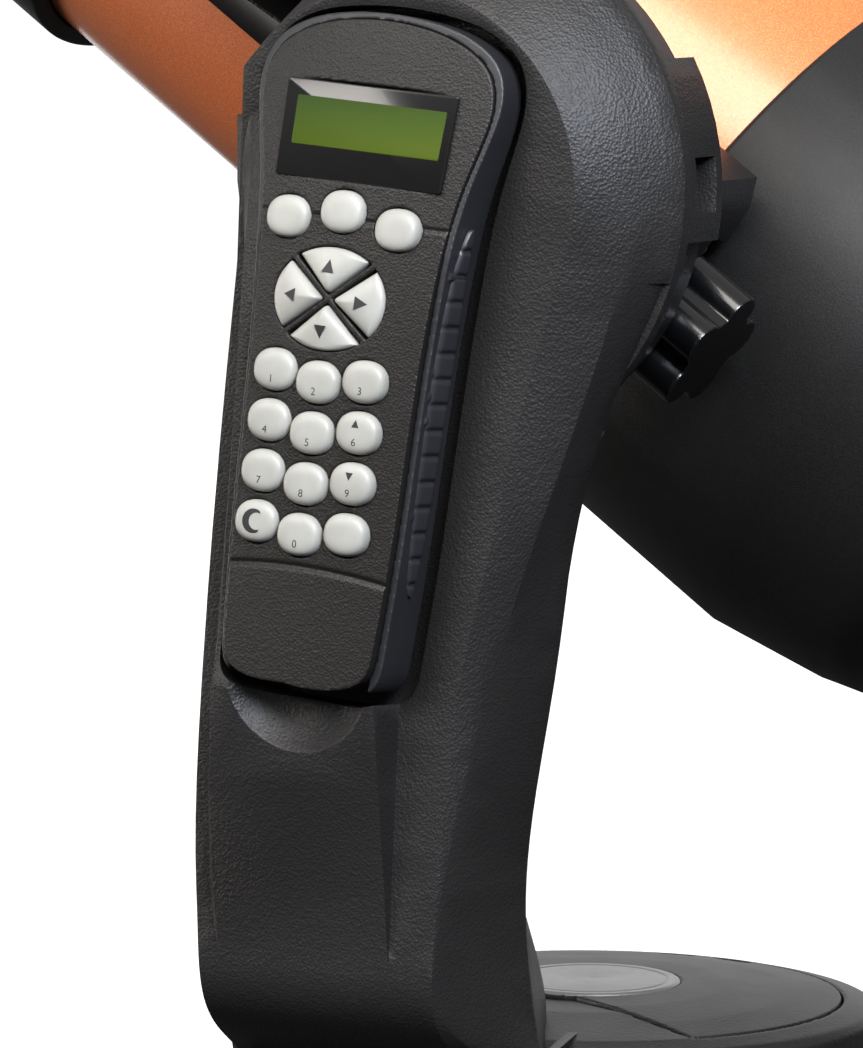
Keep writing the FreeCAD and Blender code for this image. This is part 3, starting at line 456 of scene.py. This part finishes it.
# ---------------------------------------------------------------- arm and mount

def build_arm():
    dress("arm_outer_shell", "arm", 0.5)
    dress("arm_inner_shell", "arm", 0.4)
    soft_copy("clamp_knob", 0.0005, 6, "gloss", "clamp_knob", 0.5)


def build_tube():
    mesh = lathe("tube_skin", [(-197, 88.9), (-197, 90.5), (58, 90.5), (58, 88.9)], OPTICS, 0.4, 256)
    link("tube_skin", mesh, "paint", "optical_tube", "tube")
    cell = [(-181.4, 91.0), (-181.4, 95.0), (-182.6, 96.5), (-211, 96.5), (-214, 93.5), (-214, 84),
            (-206.2, 82), (-206.2, 81.5), (-200.2, 81.5), (-200.2, 77), (-197.6, 77), (-197.6, 91.0)]
    mesh = lathe("front_ring", cell, OPTICS, 0.8, 256)
    link("front_ring", mesh, "cell", "optical_tube", "front_cell")
    dress("rear_cell", "cell", 0.6)


def build_base():
    """The turned base, turntable deck and spun disc."""
    soft_copy("base_housing", 0.0009, 2, "mount", "base", 0.4)
    soft_copy("turntable_housing", 0.0008, 2, "mount", "fork", 0.4)
    soft_copy("battery_cover", 0.0006, 2, "mount", "cover", 0.4)
    disc = [(62.65, 0), (62.65, 25.7), (64, 25.7), (64.6, 24.9), (64.6, 22.6), (64.2, 22.2), (64.2, 21.8),
            (64.6, 21.4), (64.6, 0)]
    mesh = lathe("emblem_disc", disc, UPRIGHT, 0.25, 160, 3)
    link("emblem_disc", mesh, "spun", "cover", "cover_emblem")


# ---------------------------------------------------------------- hand control

def crown_at(u):
    return np.sqrt(CROWN_R ** 2 - np.minimum(np.abs(u), 100.0) ** 2) - CROWN_R + CROWN


def bend_at(v):
    return BEND * np.maximum(0.0, v - BEND_V) ** 2


def hc_uvw(points):
    """Row-frame points as across, along and out of the unbent hand control, in mm."""
    local = in_frame(HC, points)
    return np.stack([local[:, 0], local[:, 2], bend_at(local[:, 2]) - local[:, 1]], axis=1)


def hc_row(uvw):
    local = np.stack([uvw[:, 0], bend_at(uvw[:, 1]) - uvw[:, 2], uvw[:, 1]], axis=1)
    return from_frame(HC, local)


def case_details(points):
    """The two moulded grooves across the hand control's face."""
    uvw = hc_uvw(points)
    u, v, w = uvw.T
    front = w > crown_at(u) - 1.2
    grooves = ((124.6 + 0.0 * u, 0.55, 0.55), (31.5 - 0.0032 * u ** 2, 0.75, 0.7))
    for height, width, depth in grooves:
        near = np.exp(-((v - height) / width) ** 2)
        w -= np.where(front, depth * near, 0.0)
    points[:] = hc_row(np.stack([u, v, w], axis=1))


COLUMN, COLUMN_SHIFT = 13.5, -2.5
KEY_PLACES = {"key_1": (-1, 82.6), "key_2": (0, 80.8), "key_3": (1, 82.6),
              "key_4": (-1, 69.0), "key_5": (0, 67.2), "key_6": (1, 69.0),
              "key_7": (-1, 55.4), "key_8": (0, 53.6), "key_9": (1, 55.4),
              "key_info": (-1, 41.8), "key_0": (0, 40.0), "key_speed": (1, 41.8)}
TOP_KEYS = {"key_align": (-18.6, 123.4), "key_enter": (-2.2, 126.4), "key_back": (14.2, 123.4)}
PAD_CENTRE, PAD_U, PAD_V = (-3.0, 103.0), 16.6, 13.8
KEY_U, KEY_V, KEY_RISE = 6.5, 5.75, 2.6
KEY_FOOT = 2.2                       # how far a key's cap starts below the face
SUPER = 2.3                          # superellipse power of a key's outline
PLUMP, PAD_PLUMP = 4.2, 3.6          # superellipse powers of a key's and the pad's profile
PAD_POWER = 2.05                     # superellipse power of the arrow pad's outline
PAD_GAP = 1.05                       # half the gap between two pad keys
PAD_LOW, PAD_TOP, PAD_SAG = 0.8, 6.1, 0.012          # foot, height and roundness of the pad
BELOW = (1.0, -0.6)                  # a key's lowest ring: share of its radius and of its height


def dome(power, rings=18):
    """Fractions (radius, height) of a plump key's profile from its foot to its middle."""
    steps = np.linspace(0, math.pi / 2, rings)
    return [(math.cos(t) ** (2 / power), math.sin(t) ** (2 / power)) for t in steps]


def key_height(u, v, centre, foot, rise):
    """Height of a round key's cap over the point u, v."""
    across = np.abs((u - centre[0]) / KEY_U) ** SUPER
    along = np.abs((v - centre[1]) / KEY_V) ** SUPER
    ratio = (across + along) ** (1 / SUPER)
    bulge = np.clip(1 - np.clip(ratio, 0, 1) ** PLUMP, 0, 1) ** (1 / PLUMP)
    return foot + rise * bulge


def build_round_key(name, centre):
    """A key's cap; returns the height of its top as a function of u and v."""
    foot = float(crown_at(centre[0])) - KEY_FOOT
    rise = KEY_RISE + KEY_FOOT
    angles = np.linspace(0, 2 * math.pi, 56, endpoint=False)
    outline = np.stack([np.sign(np.cos(angles)) * np.abs(np.cos(angles)) ** (2 / SUPER),
                        np.sign(np.sin(angles)) * np.abs(np.sin(angles)) ** (2 / SUPER)], axis=1)
    rings = []
    for radius, height in [BELOW] + dome(PLUMP):
        r = max(radius, 0.0)
        ring = [(centre[0] + r * KEY_U * x, centre[1] + r * KEY_V * y, foot + rise * height)
                for x, y in outline]
        rings.append(ring)
    link(name + "_cap", ring_mesh(name + "_cap", rings), "key", name, name, 60.0)
    return lambda u, v: key_height(u, v, centre, foot, rise)


def ring_mesh(name, rings):
    """A closed mesh over rings of (across, along, out) points of the hand control's bent face."""
    points = np.array(rings)
    flat = hc_row(points.reshape(-1, 3)).reshape(points.shape)
    return grid_mesh(name, flat, closed_v=True, cap=True)


def mark(name, body, outlines, height, lift=0.035):
    """A printed mark: filled outlines laid on a key's dome."""
    shape = bmesh.new()
    for outline in outlines:
        corners = [shape.verts.new((u, v, 0)) for u, v in outline]
        shape.faces.new(corners)
    bmesh.ops.triangulate(shape, faces=shape.faces)
    bmesh.ops.subdivide_edges(shape, edges=shape.edges, cuts=3, use_grid_fill=True)
    bmesh.ops.triangulate(shape, faces=shape.faces)
    mesh = bpy.data.meshes.new(name)
    shape.to_mesh(mesh)
    shape.free()
    points = read_points(mesh)
    uvw = np.stack([points[:, 0], points[:, 1], height(points[:, 0], points[:, 1]) + lift], axis=1)
    write_points(mesh, hc_row(uvw))
    link(name, mesh, "ink", body, None, 0)


def digit_outlines(text, centre, size):
    """The outlines of one glyph of the built-in font, triangulated, in the face's frame."""
    curve = bpy.data.curves.new("glyph", "FONT")
    curve.body = text
    curve.size = size
    curve.align_x, curve.align_y = "CENTER", "CENTER"
    holder = bpy.data.objects.new("glyph", curve)
    bpy.context.scene.collection.objects.link(holder)
    mesh = evaluated_mesh(holder)
    bpy.data.objects.remove(holder)
    points = [(v.co.x + centre[0], v.co.y + centre[1]) for v in mesh.vertices]
    return [[points[i] for i in face.vertices] for face in mesh.polygons]


def triangle(centre, size, direction):
    u, v = centre
    corners = [(0.0, 1.0), (-0.82, -0.6), (0.82, -0.6)]
    turn = {"up": 0, "left": 90, "down": 180, "right": 270}[direction]
    c, s = math.cos(math.radians(turn)), math.sin(math.radians(turn))
    return [(u + size * (c * x - s * y), v + size * (s * x + c * y)) for x, y in corners]


def ring_mark(centre, size, steps=24):
    """A plain open crescent: the generic mark on the information key."""
    outline = []
    for k in range(steps + 1):
        a = math.radians(60 + 240 * k / steps)
        outline.append((centre[0] + size * math.cos(a), centre[1] + size * math.sin(a)))
    for k in range(steps + 1):
        a = math.radians(300 - 240 * k / steps)
        outline.append((centre[0] + 0.28 * size + 0.66 * size * math.cos(a),
                        centre[1] + 0.70 * size * math.sin(a)))
    return [[outline[k], outline[k + 1], outline[-k - 2], outline[-k - 1]] for k in range(steps)]


def build_keys():
    places = {name: (column * COLUMN + COLUMN_SHIFT, v) for name, (column, v) in KEY_PLACES.items()}
    places.update(TOP_KEYS)
    for name, centre in places.items():
        height = build_round_key(name, centre)
        digit = name[4:]
        low = (centre[0], centre[1] - 2.6)
        if digit.isdigit():
            mark("print_" + digit, name, digit_outlines(digit, low, 2.9), height)
        if name in ("key_6", "key_9"):
            way = "up" if name == "key_6" else "down"
            mark("print_arrow_" + digit, name, [triangle((centre[0], centre[1] + 2.2), 1.35, way)], height)
        if name == "key_info":
            mark("print_crescent", name, ring_mark(centre, 3.3), height)
    for side in ("up", "down", "left", "right"):
        build_pad_key(side)


def pad_height(u, v):
    return PAD_TOP - PAD_SAG * ((u - PAD_CENTRE[0]) ** 2 + (v - PAD_CENTRE[1]) ** 2)


def pad_outline(side):
    """One quarter of the pad's oval, inside the two gaps along its straight sides."""
    middle = math.radians({"right": 0.0, "up": 90.0, "left": 180.0, "down": 270.0}[side])
    spread = math.atan2(PAD_V, PAD_U) if side in ("left", "right") else math.atan2(PAD_U, PAD_V)
    corner = Vector((math.cos(middle), math.sin(middle))) * PAD_GAP / math.sin(spread)
    limit = math.tan(spread)
    kept = []
    for k in range(31):
        a = middle - spread + 2 * spread * k / 30
        x, y = math.cos(a), math.sin(a)
        r = 1.0 / ((abs(x) / PAD_U) ** PAD_POWER + (abs(y) / PAD_V) ** PAD_POWER) ** (1 / PAD_POWER)
        p = Vector((r * x, r * y))
        q = p - corner
        along = q.x * math.cos(middle) + q.y * math.sin(middle)
        across = -q.x * math.sin(middle) + q.y * math.cos(middle)
        if along > 0 and abs(across) <= along * limit * 1.0001:
            kept.append(p)
    return rounded([corner] + kept, 1.0, 5)


def build_pad_key(side):
    """One quarter of the arrow pad, with soft edges along its two straight sides."""
    name = "key_" + side
    outline = pad_outline(side)
    centre = sum(outline, Vector((0, 0))) / len(outline)
    rings = []
    for radius, height in [BELOW] + dome(PAD_PLUMP, 20):
        ring = []
        for p in outline:
            q = centre + (p - centre) * radius
            top = PAD_TOP - PAD_SAG * (q.x ** 2 + q.y ** 2)
            ring.append((q.x + PAD_CENTRE[0], q.y + PAD_CENTRE[1], PAD_LOW + (top - PAD_LOW) * height))
        rings.append(ring)
    link(name + "_cap", ring_mesh(name + "_cap", rings), "key", name, name, 50.0)
    place = {"up": (0, 8.4), "down": (0, -8.4), "left": (-10.3, 0), "right": (10.3, 0)}[side]
    at = (PAD_CENTRE[0] + place[0], PAD_CENTRE[1] + place[1])
    mark("print_pad_" + side, name, [triangle(at, 2.2, side)], pad_height, 0.06)


def toward(value, middle, step):
    return value - step if value > middle else value + step


def slab(name, corners, low, high, look, body, node, round_by):
    """A flat plate on the hand control with rounded corners and edges."""
    outline = rounded([Vector(c) for c in corners], round_by, 6)
    centre = sum(outline, Vector((0, 0))) / len(outline)
    rings = []
    edge = 0.25
    for inset, w in [(0, low), (0, high - edge), (0.3 * edge, high - 0.3 * edge), (edge, high)]:
        rings.append([(toward(p.x, centre.x, inset), toward(p.y, centre.y, inset), w) for p in outline])
    link(name, ring_mesh(name, rings), look, body, node, 35.0)


SIDE_HALF = [(4, 20.4), (13, 22.6), (35, 23.8), (72, 24.8), (112, 26.6), (136, 29.8), (150, 33.2)]
RIB_PITCH = 6.9
INSERT_LOW, INSERT_HIGH = 27.0, 126.0
INSERT_W, INSERT_HALF = -9.6, 5.6    # its middle line's depth and half its greatest width
INSERT_OUT, RIB_DEPTH = 1.15, 0.85   # how far it stands out, and how deep the grooves between ribs are
BAND_OUT = 1.75                      # the rubber band's thickness over the case's side


def build_grip_insert(side):
    """The ribbed, lens-shaped insert in the rubber band on one side."""
    rows, columns = 300, 17
    middle, reach = (INSERT_LOW + INSERT_HIGH) / 2, (INSERT_HIGH - INSERT_LOW) / 2
    grid = np.zeros((rows, columns, 3))
    for i, v in enumerate(np.linspace(INSERT_LOW, INSERT_HIGH, rows)):
        width = INSERT_HALF * max(0.0, 1 - abs((v - middle) / reach) ** 2.2) ** 0.5
        base = np.interp(v, *zip(*SIDE_HALF)) + BAND_OUT
        phase = ((v - INSERT_LOW) / RIB_PITCH) % 1.0
        groove = RIB_DEPTH * math.exp(-((phase - 0.5) / 0.10) ** 2)
        for k, t in enumerate(np.linspace(-1, 1, columns)):
            rim = max(0.0, 1 - abs(t) ** 6) ** 0.5
            lift = rim * (INSERT_OUT - groove * (1 - t * t) ** 0.35)
            grid[i, k] = (side * (base + lift), v, INSERT_W + width * t)
    flat = hc_row_flat(grid.reshape(-1, 3)).reshape(grid.shape)
    name = "grip_insert_" + ("right" if side > 0 else "left")
    link(name, grid_mesh(name, flat), "insert", "hand_control", None, 60.0)


def hc_row_flat(uvw):
    return from_frame(HC, np.stack([uvw[:, 0], -uvw[:, 2], uvw[:, 1]], axis=1))


def build_hand_control():
    soft_copy("hc_front_shell", 0.00036, 3, "case", "hand_control", 0.45,
              case_details)
    soft_copy("hc_grips", 0.0004, 2, "rubber", "hand_control", 0.5)
    soft_copy("hc_back_shell", 0.0007, 2, "case", "hand_control", 0.4)
    window = [(-24.8, 134.2), (24.8, 134.2), (25.5, 160.3), (-25.5, 160.3)]
    slab("display_bezel", window, 1.3, 2.1, "bezel", "hand_control", "lcd_window", 0.8)
    field = [(-21.5, 142.8), (22.5, 142.8), (22.9, 155.9), (-21.9, 155.9)]
    # the display's field, which carries the painted glow
    slab("display_field", field, 2.0, 2.22, "lcd", "hand_control", None, 0.5)
    build_keys()
    for side in (-1, 1):
        build_grip_insert(side)


# ---------------------------------------------------------------- carried-over nodes

PLAIN = {
    "rubber_feet": ("foot", 0.5), "azimuth_spindle": ("steel", 0.4), "azimuth_gear": ("nylon", 0.0),
    "batteries": ("battery", 0.4), "arm_frame": ("cast", 0.5), "azimuth_motor": ("steel", 0.3),
    "azimuth_pinion": ("brass", 0.0), "altitude_motor": ("steel", 0.3), "altitude_pinion": ("brass", 0.0),
    "circuit_board": ("board", 0.2), "power_switch": ("gloss", 0.4), "altitude_gear": ("nylon", 0.0),
    "clamp_jaw": ("cast", 0.5), "dovetail_bar": ("bar", 0.5), "corrector_plate": ("glass", 0.4),
    "secondary_housing": ("cell", 0.4), "secondary_mirror": ("mirror", 0.3), "cell_screws": ("steel", 0.12),
    "baffle_tube": ("anodised", 0.3), "primary_mirror": ("mirror", 0.4), "focus_knob": ("rubber", 0.5),
    "visual_back": ("anodised", 0.4), "star_diagonal": ("gloss", 0.6), "eyepiece": ("anodised", 0.5),
    "red_dot_finder": ("mount", 0.6), "hc_board": ("board", 0.2), "altitude_hub": ("arm", 0.7),
}


def dress_plain_nodes():
    for node, (look, bevel) in PLAIN.items():
        dress(node, look, bevel)


# ---------------------------------------------------------------- stage

FLOOR = 90.0                         # half the floor's width
DOME = [(0.30, 0.06), (0.52, 0.11), (1.0, 0.62)]     # height from nadir 0 to zenith 1, level

def area_light(name, place, aim, size, power, color):
    lamp = bpy.data.lights.new(name, "AREA")
    lamp.shape = "RECTANGLE"
    lamp.size, lamp.size_y = size
    lamp.energy = power
    lamp.color = color
    holder = bpy.data.objects.new(name, lamp)
    bpy.context.scene.collection.objects.link(holder)
    holder.location = place
    holder.visible_camera = False
    holder.rotation_euler = (Vector(aim) - Vector(place)).to_track_quat("-Z", "Y").to_euler()


def build_floor():
    """A white floor that the camera sees but that throws no light back on the object."""
    plane = grid_mesh("floor", np.array([[(x, y, 0.0) for x in (-FLOOR, FLOOR)] for y in (-FLOOR, FLOOR)]))
    floor = bpy.data.objects.new("floor", plane)
    bpy.context.scene.collection.objects.link(floor)
    paper = Look("floor_white", (0.55, 0.55, 0.55), 0.9, spec=0.1)
    paper.shader.inputs["Emission Color"].default_value = (1, 1, 1, 1)
    paper.shader.inputs["Emission Strength"].default_value = 0.85
    floor.data.materials.append(paper.material)
    floor.visible_diffuse = False
    floor.visible_glossy = False


def build_world():
    """White behind the object, and a dome of light that fades towards the ground."""
    world = bpy.data.worlds.new("studio")
    bpy.context.scene.world = world
    world.use_nodes = True
    tree = world.node_tree
    back = tree.nodes["Background"]
    back.inputs["Color"].default_value = (1, 1, 1, 1)
    dome = tree.nodes.new("ShaderNodeBackground")
    dome.inputs["Strength"].default_value = 1.0
    split = tree.nodes.new("ShaderNodeSeparateXYZ")
    ramp = tree.nodes.new("ShaderNodeValToRGB")
    points = ramp.color_ramp.elements
    points.new(0.5)
    for point, (height, level) in zip(points, DOME):
        point.position = height
        point.color = (level, level, level, 1)
    rise = tree.nodes.new("ShaderNodeMapRange")
    rise.inputs["From Min"].default_value = -1.0
    mix = tree.nodes.new("ShaderNodeMixShader")
    path = tree.nodes.new("ShaderNodeLightPath")
    coords = tree.nodes.new("ShaderNodeTexCoord")
    tree.links.new(coords.outputs["Generated"], split.inputs["Vector"])
    tree.links.new(split.outputs["Z"], rise.inputs["Value"])
    tree.links.new(rise.outputs["Result"], ramp.inputs["Fac"])
    tree.links.new(ramp.outputs["Color"], dome.inputs["Color"])
    tree.links.new(path.outputs["Is Camera Ray"], mix.inputs["Fac"])
    tree.links.new(dome.outputs["Background"], mix.inputs[1])
    tree.links.new(back.outputs["Background"], mix.inputs[2])
    tree.links.new(mix.outputs["Shader"], tree.nodes["World Output"].inputs["Surface"])


def build_stage():
    build_floor()
    build_world()
    area_light("key_light", (0.22, -0.88, 1.12), (0, -0.14, 0.3), (0.9, 0.5), 13.5, (1.0, 0.94, 0.87))
    area_light("side_light", (0.78, -0.80, 0.84), (0, -0.1, 0.34), (0.4, 0.4), 21.0, (0.80, 0.87, 1.0))
    area_light("front_light", (-0.60, -1.12, 0.82), (0, -0.16, 0.33), (0.5, 0.35), 5.5, (1.0, 0.96, 0.91))
    area_light("left_fill", (-1.6, -0.35, 0.25), (-0.1, -0.1, 0.25), (0.5, 0.9), 10.0, (1.0, 0.94, 0.90))
    area_light("backdrop", (-0.9, 2.0, 0.6), (0, 0, 0.2), (3.0, 1.4), 13.0, (1.0, 1.0, 1.0))


EYE = (0.7260, -1.5629, 0.3756)
EYE_YAW, EYE_PITCH, EYE_ROLL = 0.46225, 0.10329, 0.00419
LENS, SENSOR = 206.3, 36.0


def build_camera():
    yaw, pitch, roll = EYE_YAW, EYE_PITCH, EYE_ROLL
    forward = Vector((-math.sin(yaw) * math.cos(pitch), math.cos(yaw) * math.cos(pitch), -math.sin(pitch)))
    side = Vector((math.cos(yaw), math.sin(yaw), 0))
    up = side.cross(forward)
    right = side * math.cos(roll) + up * math.sin(roll)
    over = right.cross(forward)
    lens = bpy.data.cameras.new("camera")
    lens.sensor_width = SENSOR
    lens.lens = LENS
    lens.clip_start, lens.clip_end = 0.05, 50.0
    camera = bpy.data.objects.new("camera", lens)
    bpy.context.scene.collection.objects.link(camera)
    turned = Matrix((right, over, -forward)).transposed().to_4x4()
    camera.matrix_world = Matrix.Translation(EYE) @ turned
    bpy.context.scene.camera = camera
    bpy.context.scene.view_settings.view_transform = "Standard"


dress_plain_nodes()
build_arm()
build_tube()
build_base()
build_hand_control()
build_stage()
build_camera()
